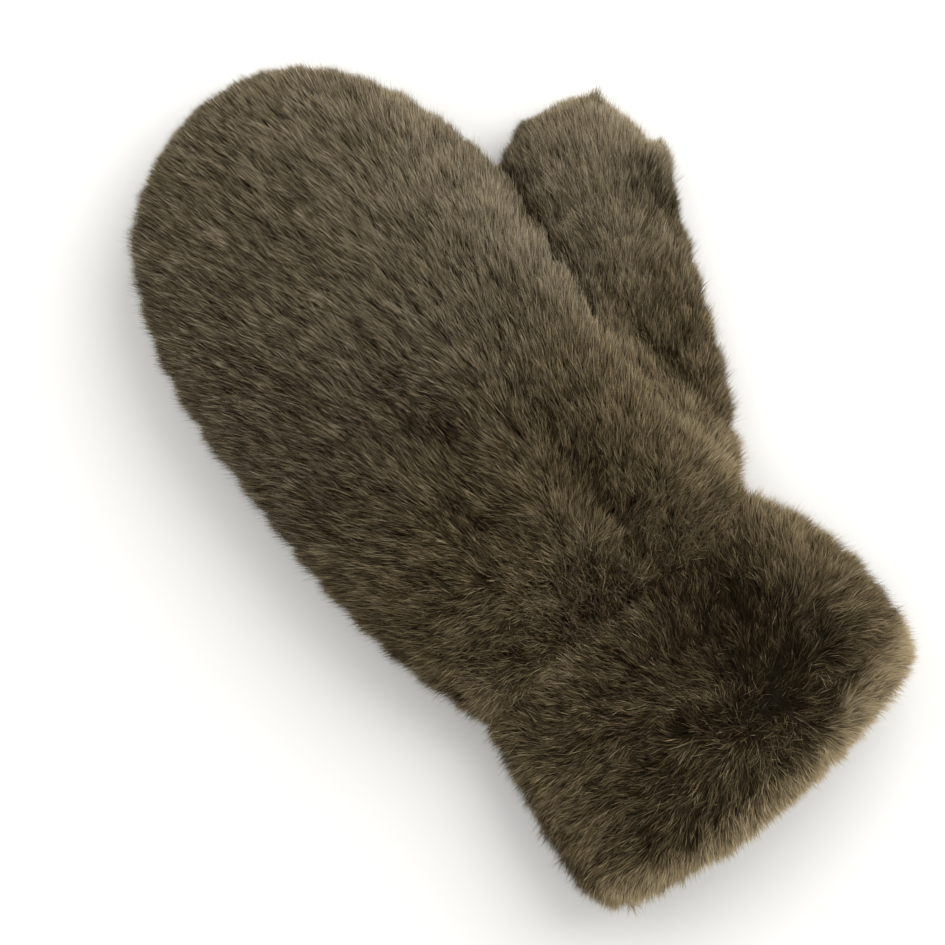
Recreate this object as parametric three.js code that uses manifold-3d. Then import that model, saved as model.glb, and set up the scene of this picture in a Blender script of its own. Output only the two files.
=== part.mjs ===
// A fur mitten for the left hand, lying on its palm as it would on a table.
//
// Four pieces of deep-pile fur cloth make it: a back and a palm sewn together round the hand,
// a thumb sewn into the palm's side, and a flared cuff sewn on at the wrist. Each piece is a
// wall of cloth with its pile, hollow inside, and the pile's outer form is rows of pointed
// locks that overlap like shingles and point to the fingertips.
//
// Millimetres, +Z up. +Y runs from the wrist to the fingertips and +X to the thumb's side.
// The finished group is moved so that its origin is the middle of its footprint on the table.

import * as THREE from "three";
import { mergeVertices } from "three/addons/utils/BufferGeometryUtils.js";
import Module from "manifold-3d";

const wasm = await Module();
wasm.setup();

// Sizes over the fur
const HAND_LENGTH = 219.5; // wrist seam to fingertips
const HAND_WIDTH = 137;
const HAND_HEIGHT = 52;
const WRIST_WIDTH = 118.5;
const WRIST_HEIGHT = 40;
const CUFF_LENGTH = 81; // wrist seam to the lowest point of the hem
const CUFF_WIDTH = 141;
const CUFF_HEIGHT = 46;
const HEM_RISE = 12; // how far the hem's corners stand back from its middle
const THUMB_LENGTH = 169.5; // wrist seam to the thumb's tip, along the thumb
const THUMB_WIDTH = 54;
const THUMB_HEIGHT = 34;
const THUMB_LEAN = THREE.MathUtils.degToRad(24); // off the hand's centre line
const THUMB_OFFSET = 32; // from the hand's centre line at the wrist, across the thumb
const THUMB_BASE = 30; // where the thumb starts, along the thumb
const THUMB_CROTCH = 85; // where the thumb parts from the hand, along the thumb

// The cloth
const BACKING = 2.5; // woven backing
const PILE = 8; // fur standing on the backing
const PRESSED = 5; // how much of the pile the mitten's own weight presses flat on the table

// Locks of the pile
const LOCK_LENGTH = 14.5;
const LOCK_WIDTH = 11;
const LOCK_DEPTH = 4.2;

// Seams and gathers
const SEAM_GAP = 0.3; // between pieces that are sewn together
const SEAM_LAP = 1; // how far the thumb's plain root runs on under its locks
const SEAM_DIP = 3; // how far the pile sinks along a seam
const SEAM_DIP_WIDTH = 7;
const SEAM_TILT = THREE.MathUtils.degToRad(8); // of the hand's side seam, up to the thumb
const GATHER_COUNT = 11; // puckers round the wrist
const GATHER_DEPTH = 2.2;
const GATHER_REACH = 38; // how far the puckers run from the wrist seam
const HEM_ROUND = 6; // roundness of the folded hem

const WALL = BACKING + PILE;
const HAND_ROUND_START = 0.505; // share of the hand's length where its round end starts
const THUMB_ROUND_START = 0.83;
const HAND_ROUNDNESS = 2.3; // exponent of the end's outline: 2 is an ellipse, more is blunter
const THUMB_ROUNDNESS = 2.6;
const SECTION_ROUNDNESS = 2.35; // the same for the cross-sections
const TIP_SHIFT = 0.06; // how far the fingertip leans to the thumb, as a share of the half width

// Outlines. along runs from the wrist seam (0) to the far end (1). left and right say how far
// each edge has opened from the wrist's half width (0) to the limb's own half width (1), and
// rise says the same of the height.
const HAND_SECTIONS = [
  { along: 0.0, left: 0.0, right: 0.0, rise: 0.0 },
  { along: 0.05, left: 0.32, right: 0.14, rise: 0.3 },
  { along: 0.1, left: 0.57, right: 0.3, rise: 0.58 },
  { along: 0.19, left: 1.0, right: 0.0, rise: 0.86 },
  { along: 0.31, left: 1.16, right: 0.04, rise: 1.0 },
  { along: 0.39, left: 1.16, right: 0.38, rise: 1.02 },
  { along: 0.47, left: 1.05, right: 0.75, rise: 1.0 },
  { along: 0.6, left: 1.0, right: 0.96, rise: 0.98 },
  { along: 1.0, left: 1.0, right: 1.0, rise: 0.94 },
];
const CUFF_SECTIONS = [
  { along: 0.0, left: 0.0, right: 0.0, rise: 0.0 },
  { along: 0.12, left: 0.13, right: 0.5, rise: 0.35 },
  { along: 0.28, left: 0.37, right: 0.78, rise: 0.7 },
  { along: 0.44, left: 0.6, right: 0.99, rise: 0.9 },
  { along: 0.58, left: 0.78, right: 1.08, rise: 1.0 },
  { along: 0.72, left: 0.94, right: 0.98, rise: 1.0 },
  { along: 0.87, left: 1.0, right: 0.86, rise: 0.96 },
  { along: 1.0, left: 0.97, right: 0.8, rise: 0.9 },
];
// The thumb's edges and height are shares of its own half width and height.
const THUMB_SECTIONS = [
  { along: 0.15, left: 0.5, right: 0.7, rise: 0.7 },
  { along: 0.31, left: 0.85, right: 0.89, rise: 0.8 },
  { along: 0.42, left: 0.96, right: 0.96, rise: 0.88 },
  { along: 0.54, left: 1.0, right: 0.96, rise: 0.94 },
  { along: 0.71, left: 1.04, right: 1.0, rise: 1.0 },
  { along: 0.82, left: 1.1, right: 1.08, rise: 1.0 },
  { along: 0.87, left: 1.12, right: 0.98, rise: 0.98 },
  { along: 0.91, left: 1.14, right: 0.64, rise: 0.96 },
  { along: 0.955, left: 1.16, right: 0.56, rise: 0.94 },
  { along: 1.0, left: 1.16, right: 0.78, rise: 0.92 },
];

// Folds and dents of the upper side. across is a share of the half width, along, length and
// width are shares of the limb's length, turn is degrees from the limb's axis towards its
// right, and sink is a share of the pile, less than 0 on a ridge.
const HAND_FOLDS = [
  { across: -0.1, along: 0.37, length: 0.09, width: 0.04, turn: -15, sink: 0.55 },
  { across: -0.22, along: 0.22, length: 0.05, width: 0.04, turn: -35, sink: 0.5 },
  { across: -0.55, along: 0.1, length: 0.12, width: 0.035, turn: -50, sink: 0.5 },
  { across: 0.13, along: 0.17, length: 0.18, width: 0.05, turn: 2, sink: -0.45 },
  { across: 0.34, along: 0.15, length: 0.17, width: 0.04, turn: 4, sink: 0.6 },
  { across: 0.62, along: 0.12, length: 0.12, width: 0.05, turn: 14, sink: -0.35 },
  { across: -0.4, along: 0.28, length: 0.16, width: 0.07, turn: -12, sink: -0.3 },
];
const CUFF_FOLDS = [
  { across: 0.42, along: 0.42, length: 0.4, width: 0.22, turn: 35, sink: 0.75 },
  { across: 0.08, along: 0.5, length: 0.22, width: 0.12, turn: -30, sink: -0.4 },
  { across: -0.45, along: 0.16, length: 0.3, width: 0.09, turn: -75, sink: -0.4 },
  { across: -0.2, along: 0.75, length: 0.3, width: 0.14, turn: 80, sink: 0.35 },
  { across: -0.68, along: 0.45, length: 0.3, width: 0.15, turn: 15, sink: -0.25 },
];
const THUMB_FOLDS = [
  { across: 0.62, along: 0.68, length: 0.13, width: 0.045, turn: -6, sink: 0.6 },
  { across: 0.5, along: 0.47, length: 0.09, width: 0.045, turn: -8, sink: 0.6 },
  { across: 0.1, along: 0.52, length: 0.2, width: 0.07, turn: -14, sink: -0.35 },
  { across: -0.35, along: 0.5, length: 0.14, width: 0.06, turn: 5, sink: 0.5 },
  { across: 0.42, along: 0.99, length: 0.03, width: 0.03, turn: 0, sink: -0.35 },
];

// The value of a column at a place along, on a smooth curve through the table's rows.
function readColumn(table, column, along) {
  const last = table.length - 1;
  let i = table.findIndex((row) => row.along > along) - 1;
  if (i < 0) i = along < table[0].along ? 0 : last - 1;
  const slope = (j) => {
    const a = table[Math.max(j - 1, 0)];
    const b = table[Math.min(j + 1, last)];
    return (b[column] - a[column]) / (b.along - a.along);
  };
  const [from, to] = [table[i], table[i + 1]];
  const span = to.along - from.along;
  const t = THREE.MathUtils.clamp((along - from.along) / span, 0, 1);
  const ease = t * t * (3 - 2 * t);
  const bend = t * (1 - t) * ((1 - t) * slope(i) - t * slope(i + 1)) * span;
  return from[column] * (1 - ease) + to[column] * ease + bend;
}

// cos or sin of a superellipse's angle
const blunt = (value, roundness) => Math.sign(value) * Math.abs(value) ** (2 / roundness);

// A number from 0 to 1 that is always the same for the same lock.
function scatter(ring, column) {
  const wave = Math.sin(ring * 127.1 + column * 311.7) * 43758.5453;
  return wave - Math.floor(wave);
}

// The limbs. Each gives the half widths and the top of its section at a share along, and
// where its round end starts.
const edges = (table, along, start, end) => ({
  left: start.half + (end.half - start.half) * readColumn(table, "left", along),
  right: start.half + (end.half - start.half) * readColumn(table, "right", along),
  top: start.top + (end.top - start.top) * readColumn(table, "rise", along),
});
const WRIST = { half: WRIST_WIDTH / 2, top: WRIST_HEIGHT };

const hand = {
  length: HAND_LENGTH,
  half: HAND_WIDTH / 2,
  centre: 0,
  base: 0,
  roundStart: HAND_ROUND_START * HAND_LENGTH,
  roundness: HAND_ROUNDNESS,
  tipShift: TIP_SHIFT * (HAND_WIDTH / 2),
  folds: HAND_FOLDS,
  section: (along) =>
    edges(HAND_SECTIONS, along, WRIST, { half: HAND_WIDTH / 2, top: HAND_HEIGHT }),
};
const thumb = {
  length: THUMB_LENGTH,
  half: THUMB_WIDTH / 2,
  centre: THUMB_OFFSET,
  base: THUMB_BASE,
  roundStart: THUMB_ROUND_START * THUMB_LENGTH,
  roundness: THUMB_ROUNDNESS,
  tipShift: 0,
  folds: THUMB_FOLDS,
  section: (along) =>
    edges(THUMB_SECTIONS, along, { half: 0, top: 0 }, { half: THUMB_WIDTH / 2, top: THUMB_HEIGHT }),
};
const cuff = {
  length: CUFF_LENGTH,
  half: CUFF_WIDTH / 2,
  centre: 0,
  folds: CUFF_FOLDS,
  section: (along) =>
    edges(CUFF_SECTIONS, along, WRIST, { half: CUFF_WIDTH / 2, top: CUFF_HEIGHT }),
};

// Height of a section's middle: the weight on the table has pressed its lower side flat.
const middleHeight = (top) => (top - PRESSED) / 2;

// The point of a cross-section at an angle (0 right, a quarter turn up), inset from the fur's
// outer form. shrink narrows the section towards a round end.
function sectionPoint(limb, along, angle, inset, shrink) {
  const { left, right, top } = limb.section(along);
  const across = blunt(Math.cos(angle), SECTION_ROUNDNESS);
  const up = blunt(Math.sin(angle), SECTION_ROUNDNESS);
  const half = (across > 0 ? right : left) - inset;
  return {
    x: limb.centre + across * Math.max(half, 0) * shrink,
    z: middleHeight(top) + up * Math.max((top + PRESSED) / 2 - inset, 0) * shrink,
  };
}

// A point on a limb with a round end. travel goes from the limb's base (0) to its tip (1) at
// an even pace over the surface.
function tubePoint(limb, travel, angle, inset) {
  const straight = limb.roundStart - limb.base;
  const round = limb.length - limb.roundStart;
  const arc = (Math.PI / 2) * ((round + Math.min(limb.half, round)) / 2);
  const distance = travel * (straight + arc);
  const turn = Math.min(Math.max(distance - straight, 0) / arc, 1) * (Math.PI / 2);
  const reach = blunt(Math.sin(turn), limb.roundness);
  const shrink = turn >= Math.PI / 2 ? 0 : blunt(Math.cos(turn), limb.roundness);
  const y = turn > 0 ? limb.roundStart + (round - inset) * reach : limb.base + distance;
  const { x, z } = sectionPoint(limb, Math.min(y / limb.length, 1), angle, inset, shrink);
  return new THREE.Vector3(x + limb.tipShift * reach ** 3, y, z);
}

// A point on the cuff. travel goes from the hem (0) to the wrist seam (1).
function cuffPoint(travel, angle, inset) {
  const { x, z } = sectionPoint(cuff, 1 - travel, angle, inset, 1);
  const corner = Math.abs(x / cuff.half) ** 2.5;
  return new THREE.Vector3(x, -(1 - travel) * (CUFF_LENGTH - HEM_RISE * corner), z);
}

const bell = (distance, width) => Math.exp(-((distance / width) ** 2));

// How deep the folds sink the pile at a point of the upper side.
function foldDepth(limb, point, distance) {
  let depth = 0;
  for (const fold of limb.folds) {
    const turn = THREE.MathUtils.degToRad(fold.turn);
    const x = point.x - limb.centre - fold.across * limb.half;
    const y = distance - fold.along * limb.length;
    const down = x * Math.sin(turn) + y * Math.cos(turn);
    const side = x * Math.cos(turn) - y * Math.sin(turn);
    const shape = bell(down, fold.length * limb.length) * bell(side, fold.width * limb.length);
    depth += fold.sink * PILE * shape;
  }
  return depth;
}

// How deep the puckers and the seam sink the pile near the wrist.
function wristDepth(angle, distance) {
  const pucker = Math.cos(GATHER_COUNT * angle) + 0.5 * Math.cos((GATHER_COUNT - 4) * angle + 1);
  const gather = GATHER_DEPTH * (pucker / 1.5) * Math.exp(-distance / GATHER_REACH);
  return gather + SEAM_DIP * bell(distance, SEAM_DIP_WIDTH);
}

// How far a point lies over the hand's side seam, which runs through its middle
const SEAM_HEIGHT = middleHeight(HAND_HEIGHT);
const overSeam = (point) => point.z - SEAM_HEIGHT - point.x * Math.tan(SEAM_TILT);

// How deep everything but the locks sinks the pile. Folds show on the upper side only.
const upperSide = (angle) => THREE.MathUtils.smoothstep(Math.sin(angle), 0, 0.5);
function handDepth(travel, angle) {
  const point = tubePoint(hand, travel, angle, 0);
  const folds = upperSide(angle) * foldDepth(hand, point, point.y);
  const seam = SEAM_DIP * bell(overSeam(point), SEAM_DIP_WIDTH);
  return folds + seam + wristDepth(angle, point.y);
}
function thumbDepth(travel, angle) {
  const point = tubePoint(thumb, travel, angle, 0);
  return upperSide(angle) * foldDepth(thumb, point, point.y);
}
function cuffDepth(travel, angle) {
  const point = cuffPoint(travel, angle, 0);
  const folds = upperSide(angle) * foldDepth(cuff, point, -point.y);
  const hem = HEM_ROUND * bell(travel * CUFF_LENGTH, HEM_ROUND / 2);
  return folds + wristDepth(angle, -point.y) + hem;
}

// The rows of a surface covered with locks: rings of them, each with a row of roots and a
// row of tips. Every second column is the crest of a lock and runs on to its point, and the
// next ring is shifted by one column, as shingles are.
const POINT_REACH = 0.18; // how far a lock's point runs past its sides, as a share of a ring
const STEP = 0.12; // how much of a ring the drop behind a lock's tip takes
function lockRows(rings, columns) {
  const rows = [{ travel: () => 0, sink: () => 0.5 }];
  for (let ring = 1; ring < rings; ring++) {
    const crest = (column) => (column + ring) % 2 === 0;
    const reach = (column) => (crest(column) ? POINT_REACH : -POINT_REACH);
    const ragged = (column) => 0.25 * (scatter(ring, column % columns) - 0.5);
    const place = (column) => ring + reach(column) + ragged(column) * POINT_REACH * 2;
    rows.push({
      travel: (column) => (place(column) - STEP) / rings,
      sink: (column) => (crest(column) ? 0.15 : 0.55) + ragged(column),
    });
    rows.push({
      travel: (column) => place(column) / rings,
      sink: (column) => (crest(column) ? 1 : 0.85),
    });
  }
  return rows;
}

// A closed solid from rings of points: sides between the rings, and a fan over each end.
function solidFromRings(rings) {
  const columns = rings[0].length;
  const centre = (ring) =>
    ring.reduce((sum, p) => sum.add(p), new THREE.Vector3()).divideScalar(ring.length);
  const points = [...rings.flat(), centre(rings[0]), centre(rings[rings.length - 1])];
  const index = [];
  const start = points.length - 2;
  const end = points.length - 1;
  const lastRing = (rings.length - 1) * columns;
  for (let c = 0; c < columns; c++) {
    const next = (c + 1) % columns;
    for (let r = 0; r < rings.length - 1; r++) {
      const [a, b] = [r * columns + c, r * columns + next];
      const [d, e] = [a + columns, b + columns];
      index.push(a, d, b, b, d, e);
    }
    index.push(start, c, next);
    index.push(end, lastRing + next, lastRing + c);
  }
  const geometry = new THREE.BufferGeometry().setFromPoints(points).setIndex(index);
  return toSolid(geometry);
}

// A closed geometry as a solid to cut and join. Faces that a pole has squeezed flat go.
function toSolid(geometry) {
  const plain = new THREE.BufferGeometry()
    .setAttribute("position", geometry.getAttribute("position"))
    .setIndex(geometry.getIndex());
  const merged = mergeVertices(plain, 1e-4);
  const kept = [];
  const all = merged.index.array;
  for (let i = 0; i < all.length; i += 3) {
    const [a, b, c] = [all[i], all[i + 1], all[i + 2]];
    if (a !== b && b !== c && c !== a) kept.push(a, b, c);
  }
  return new wasm.Manifold(
    new wasm.Mesh({
      numProp: 3,
      vertProperties: merged.getAttribute("position").array,
      triVerts: new Uint32Array(kept),
    }),
  );
}

function toMesh(name, solid, colour) {
  const { vertProperties, triVerts } = solid.getMesh();
  const geometry = new THREE.BufferGeometry();
  geometry.setAttribute("position", new THREE.BufferAttribute(vertProperties, 3));
  geometry.setIndex(new THREE.BufferAttribute(triVerts, 1));
  const shaded = geometry.toNonIndexed();
  shaded.computeVertexNormals();
  const material = new THREE.MeshStandardMaterial({
    color: colour,
    roughness: 0.95,
    metalness: 0,
  });
  const mesh = new THREE.Mesh(shaded, material);
  mesh.name = name;
  return mesh;
}

// Rings of points for a surface: point gives a place from travel, angle and inset, depth is
// what sinks the surface there, and rows say where the rings lie and how deep locks cut.
function surfaceRings(point, depth, rows, columns) {
  return rows.map((row) =>
    Array.from({ length: columns }, (_, column) => {
      const angle = (column / columns) * 2 * Math.PI;
      const travel = THREE.MathUtils.clamp(row.travel(column), 0, 1);
      return point(travel, angle, depth(travel, angle) + LOCK_DEPTH * row.sink(column));
    }),
  );
}

// Outer forms, covered with locks. A section's girth sets how many locks go round it.
const girth = (width, height) => (Math.PI / 2) * (width + height);
const lockColumns = (width, height) => 2 * Math.round(girth(width, height) / LOCK_WIDTH);
const THUMB_COLUMNS = lockColumns(THUMB_WIDTH, THUMB_HEIGHT);
const SMOOTH_COLUMNS = 28;

function limbFur(limb, depth, columns) {
  const rings = Math.round((limb.length - limb.base + limb.half / 2) / LOCK_LENGTH);
  const point = (travel, angle, inset) => tubePoint(limb, travel, angle, inset);
  const rows = surfaceRings(point, depth, lockRows(rings, columns), columns);
  const tip = Array.from({ length: columns }, () => point(1, 0, LOCK_DEPTH / 2));
  return solidFromRings([...rows, tip]);
}

function cuffFur() {
  const columns = lockColumns(CUFF_WIDTH, CUFF_HEIGHT);
  const [hem, ...locks] = lockRows(Math.round(CUFF_LENGTH / LOCK_LENGTH), columns);
  const roundOff = { travel: () => HEM_ROUND / 2 / CUFF_LENGTH, sink: () => 0.4 };
  const seam = { travel: () => 1, sink: () => 0.5 };
  const rows = [hem, roundOff, ...locks, seam];
  return solidFromRings(surfaceRings(cuffPoint, cuffDepth, rows, columns));
}

// A smooth form inside a limb with a round end, or round it where inset is below 0. It
// starts at a distance along the limb.
function smoothLimb(limb, inset, columns, from) {
  const part = { ...limb, base: from };
  const count = Math.round((limb.length - from) / LOCK_LENGTH);
  const rings = Array.from({ length: count + 1 }, (_, ring) =>
    Array.from({ length: columns }, (_, column) =>
      tubePoint(part, ring / count, (column / columns) * 2 * Math.PI, inset),
    ),
  );
  return solidFromRings(rings);
}

// Everything over or under the hand's side seam, half the seam's gap away from it
const FAR = 4 * (HAND_LENGTH + CUFF_LENGTH);
function sideOfSeam(side) {
  const geometry = new THREE.BoxGeometry(FAR, FAR, FAR);
  geometry.translate(0, 0, side * ((FAR + SEAM_GAP) / 2));
  geometry.rotateY(-SEAM_TILT);
  geometry.translate(0, 0, SEAM_HEIGHT);
  return toSolid(geometry);
}
const aboveTable = () => toSolid(new THREE.BoxGeometry(FAR, FAR, FAR).translate(0, 0, FAR / 2));

// Turns a solid made in the thumb's frame, whose +Y runs along the thumb, into the hand's.
const inHand = (solid) => solid.rotate([0, 0, -THREE.MathUtils.radToDeg(THUMB_LEAN)]);
const smoothThumb = (inset, from) => inHand(smoothLimb(thumb, inset, THUMB_COLUMNS, from));

// The hollow for the palm and fingers. Past the crotch it leaves a wall beside the thumb.
function handHollow() {
  const hollow = smoothLimb(hand, WALL, SMOOTH_COLUMNS, -WALL);
  return hollow.subtract(smoothThumb(-WALL, THUMB_CROTCH));
}

function handWall(hollow) {
  const fur = limbFur(hand, handDepth, lockColumns(HAND_WIDTH, HAND_HEIGHT));
  const thumbHole = smoothThumb(-SEAM_GAP, THUMB_BASE - SEAM_GAP);
  return fur.subtract(hollow).subtract(thumbHole).intersect(aboveTable());
}

// The thumb has its locks outside the hand. Its root fills the hole in the hand's wall.
function thumbWall(hollow) {
  const handForm = (inset) => smoothLimb(hand, inset, SMOOTH_COLUMNS, 0);
  const locks = inHand(limbFur(thumb, thumbDepth, THUMB_COLUMNS));
  const fur = locks.subtract(handForm(-SEAM_GAP));
  const root = smoothThumb(0, THUMB_BASE).intersect(handForm(-SEAM_GAP - SEAM_LAP));
  const inside = smoothThumb(WALL, THUMB_BASE - WALL);
  return fur.add(root).subtract(inside).subtract(hollow).intersect(aboveTable());
}

// The hollow behind the wrist, open at both ends
function cuffHollow() {
  const rings = [-0.2, 0.1, 0.4, 0.7, 1.1].map((travel) =>
    Array.from({ length: SMOOTH_COLUMNS }, (_, column) => {
      const angle = (column / SMOOTH_COLUMNS) * 2 * Math.PI;
      const onCuff = THREE.MathUtils.clamp(travel, 0, 1);
      return cuffPoint(onCuff, angle, WALL).setY((travel - 1) * CUFF_LENGTH);
    }),
  );
  return solidFromRings(rings);
}

// The cuff ends a seam's gap short of the hand.
function cuffWall() {
  const box = new THREE.BoxGeometry(FAR, FAR, FAR).translate(0, -FAR / 2 - SEAM_GAP, 0);
  return cuffFur().subtract(cuffHollow()).intersect(toSolid(box)).intersect(aboveTable());
}

const FUR = 0x6b5f4c;
const FUR_SHADED = 0x5a4e3c;

function buildMitten() {
  const hollow = handHollow();
  const wall = handWall(hollow);
  const pieces = [
    ["hand_back", wall.intersect(sideOfSeam(1)), FUR],
    ["hand_palm", wall.intersect(sideOfSeam(-1)), FUR],
    ["thumb", thumbWall(hollow), FUR],
    ["cuff", cuffWall(), FUR_SHADED],
  ];
  const group = new THREE.Group();
  group.name = "fur_mitten";
  for (const [name, solid, colour] of pieces) group.add(toMesh(name, solid, colour));
  const bounds = new THREE.Box3().setFromObject(group);
  const middle = bounds.getCenter(new THREE.Vector3());
  group.position.set(-middle.x, -middle.y, -bounds.min.z);
  return group;
}

export default buildMitten();
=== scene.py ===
"""Dresses a plain hollow mitten in deep pile and sets it on a pale floor under soft light.

The mitten lies on its palm. +Y runs from the cuff to the fingertips, +X to the thumb's side
and +Z up, in metres. Each piece of cloth is a wall of knitted backing, and the fur on it is
tapered fibres that stand on the wall, lean with the nap and end near the outer form.
"""

import math

import bpy
import numpy as np
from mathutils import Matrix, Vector
from mathutils.bvhtree import BVHTree
from mathutils.kdtree import KDTree


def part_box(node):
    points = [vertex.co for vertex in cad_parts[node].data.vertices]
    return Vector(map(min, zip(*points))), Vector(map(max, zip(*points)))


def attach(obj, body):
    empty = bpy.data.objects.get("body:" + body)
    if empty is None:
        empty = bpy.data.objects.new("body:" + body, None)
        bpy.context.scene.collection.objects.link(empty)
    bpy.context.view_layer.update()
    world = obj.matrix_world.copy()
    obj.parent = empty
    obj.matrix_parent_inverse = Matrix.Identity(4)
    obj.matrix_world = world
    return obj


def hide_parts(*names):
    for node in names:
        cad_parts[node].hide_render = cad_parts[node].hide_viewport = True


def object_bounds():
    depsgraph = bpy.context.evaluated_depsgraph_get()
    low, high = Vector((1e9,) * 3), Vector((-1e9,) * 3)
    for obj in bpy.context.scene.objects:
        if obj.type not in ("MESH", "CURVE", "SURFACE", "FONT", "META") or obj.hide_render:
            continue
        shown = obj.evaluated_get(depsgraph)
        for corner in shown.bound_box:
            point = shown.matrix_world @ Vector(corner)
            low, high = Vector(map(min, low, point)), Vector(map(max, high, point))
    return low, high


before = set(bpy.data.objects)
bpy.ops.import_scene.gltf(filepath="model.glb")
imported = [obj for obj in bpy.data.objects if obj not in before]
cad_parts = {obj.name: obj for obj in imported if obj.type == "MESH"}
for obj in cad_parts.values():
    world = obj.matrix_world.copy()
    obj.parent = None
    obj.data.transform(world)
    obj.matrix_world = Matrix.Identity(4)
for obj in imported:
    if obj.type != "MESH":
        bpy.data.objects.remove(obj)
CAD_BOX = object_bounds()

bl_info = {
    "name": "Fur mitten",
    "version": (1, 0, 0),
    "blender": (4, 5, 0),
    "location": "View3D > Sidebar > Mitten",
    "description": "Makes the cloth, the pile and the stage of a deep-pile fur mitten",
    "category": "Object",
}

MM = 0.001
BODY = "root"
PIECES = ("hand_back", "hand_palm", "thumb", "cuff")
CUFF_LOW, CUFF_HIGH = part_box("cuff")
PALM_LOW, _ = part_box("hand_palm")
WRIST = np.array([(CUFF_LOW.x + CUFF_HIGH.x) / 2, PALM_LOW.y, 0.0])  # middle of the wrist seam
TO_HEM = np.array([0.0, -1.0, 0.0])
THUMB_LEAN = math.radians(24)  # from the fingers' direction to the thumb's
ALONG_THUMB = np.array([math.sin(THUMB_LEAN), math.cos(THUMB_LEAN), 0.0])


# Sizes and colours that a user would change


def linear(hex_colour):
    """The linear colour of an sRGB hex value."""
    channels = ((hex_colour >> shift & 255) / 255 for shift in (16, 8, 0))
    return tuple(c / 12.92 if c <= 0.04045 else ((c + 0.055) / 1.055) ** 2.4 for c in channels)


class PileSizes(bpy.types.PropertyGroup):
    """Sizes of the cloth and its pile."""

    root_depth: bpy.props.FloatProperty(
        name="Root depth",
        description="From the fur's outer form down to the backing that the fibres stand on",
        default=5.8 * MM,
        unit="LENGTH",
    )
    pressed_depth: bpy.props.FloatProperty(
        name="Pressed depth",
        description="The same under the mitten, where its weight presses the pile flat",
        default=2.4 * MM,
        unit="LENGTH",
    )
    hem_tuck: bpy.props.FloatProperty(
        name="Hem tuck",
        description="How much deeper the fibres' roots are at the cuff's hem",
        default=4.5 * MM,
        unit="LENGTH",
    )
    fibre_length: bpy.props.FloatProperty(
        name="Fibre length",
        description="Length of the long top fibres",
        default=10.5 * MM,
        unit="LENGTH",
    )
    fibre_width: bpy.props.FloatProperty(
        name="Fibre width",
        description="Width of a fibre at its middle, several real hairs wide so that it shows",
        default=0.27 * MM,
        unit="LENGTH",
    )
    root_angle: bpy.props.FloatProperty(
        name="Root angle",
        description="How steeply a fibre leaves the backing",
        default=math.radians(60),
        subtype="ANGLE",
    )
    tip_angle: bpy.props.FloatProperty(
        name="Tip angle",
        description="How steeply a fibre's outer half stands",
        default=math.radians(34),
        subtype="ANGLE",
    )


class FurColours(bpy.types.PropertyGroup):
    """Colours of the fibres and the backing."""

    light: bpy.props.FloatVectorProperty(
        name="Light fibre",
        description="The palest fibres, seen at the tips on the hand",
        default=linear(0xBFB196),
        subtype="COLOR",
    )
    middle: bpy.props.FloatVectorProperty(
        name="Middle fibre",
        description="Most fibres",
        default=linear(0x84765C),
        subtype="COLOR",
    )
    dark: bpy.props.FloatVectorProperty(
        name="Dark fibre",
        description="The darkest fibres, thickest round the wrist and on the cuff",
        default=linear(0x2F2719),
        subtype="COLOR",
    )
    brown_tint: bpy.props.FloatVectorProperty(
        name="Brown tint",
        description="What the browner fibres' colour is multiplied by",
        default=(1.05, 0.99, 0.85),
        subtype="COLOR",
    )
    backing: bpy.props.FloatVectorProperty(
        name="Knitted backing",
        description="The cloth inside the mitten",
        default=linear(0x5E513D),
        subtype="COLOR",
    )


class StageSettings(bpy.types.PropertyGroup):
    """The camera, the light and the floor."""

    camera_height: bpy.props.FloatProperty(
        name="Camera height",
        description="Height of the camera over the floor",
        default=1.4,
        unit="LENGTH",
    )
    view_width: bpy.props.FloatProperty(
        name="View width",
        description="Width of the picture at half the mitten's height",
        default=310.9 * MM,
        unit="LENGTH",
    )
    view_turn: bpy.props.FloatProperty(
        name="View turn",
        description="Turn of the picture round the vertical",
        default=math.radians(-40.8),
        subtype="ANGLE",
    )
    sky: bpy.props.FloatProperty(
        name="Sky",
        description="Strength of the even white light from all round",
        default=0.72,
    )
    floor: bpy.props.FloatVectorProperty(
        name="Floor",
        description="Colour of the matt paper floor",
        default=linear(0xF7F6F3),
        subtype="COLOR",
    )


# Helpers for meshes

JOIN_GAP = 0.01 * MM  # corners nearer than this are one
RIPPLE_WAVES = 6


def deselect():
    bpy.ops.object.select_all(action="DESELECT")


def link_object(name, mesh):
    """A new object with a mesh, selected alone."""
    deselect()
    made = bpy.data.objects.new(name, mesh)
    bpy.context.scene.collection.objects.link(made)
    bpy.context.view_layer.objects.active = made
    made.select_set(True)
    return made


def merged_copy(nodes, name):
    """One object that holds copies of CAD nodes, with their loose triangles joined up."""
    copies = [link_object(name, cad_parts[node].data.copy()) for node in nodes]
    for piece in copies:
        piece.select_set(True)
    if len(copies) > 1:
        bpy.ops.object.join()
    made = bpy.context.view_layer.objects.active
    made.name = name
    bpy.ops.object.mode_set(mode="EDIT")
    bpy.ops.mesh.select_all(action="SELECT")
    bpy.ops.mesh.remove_doubles(threshold=JOIN_GAP)
    bpy.ops.object.mode_set(mode="OBJECT")
    return made


def remesh_and_smooth(piece, voxel, passes):
    """Even faces all over a piece, with its locks smoothed to the cloth's own curves."""
    even = piece.modifiers.new("Even faces", "REMESH")
    even.mode = "VOXEL"
    even.voxel_size = voxel
    smooth = piece.modifiers.new("Smooth", "SMOOTH")
    smooth.factor = 0.5
    smooth.iterations = passes
    for modifier in (even, smooth):
        bpy.ops.object.modifier_apply(modifier=modifier.name)


def vertex_array(mesh, field="co"):
    values = np.empty(len(mesh.vertices) * 3, np.float32)
    mesh.vertices.foreach_get(field, values)
    return values.reshape(-1, 3).astype(float)


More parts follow.
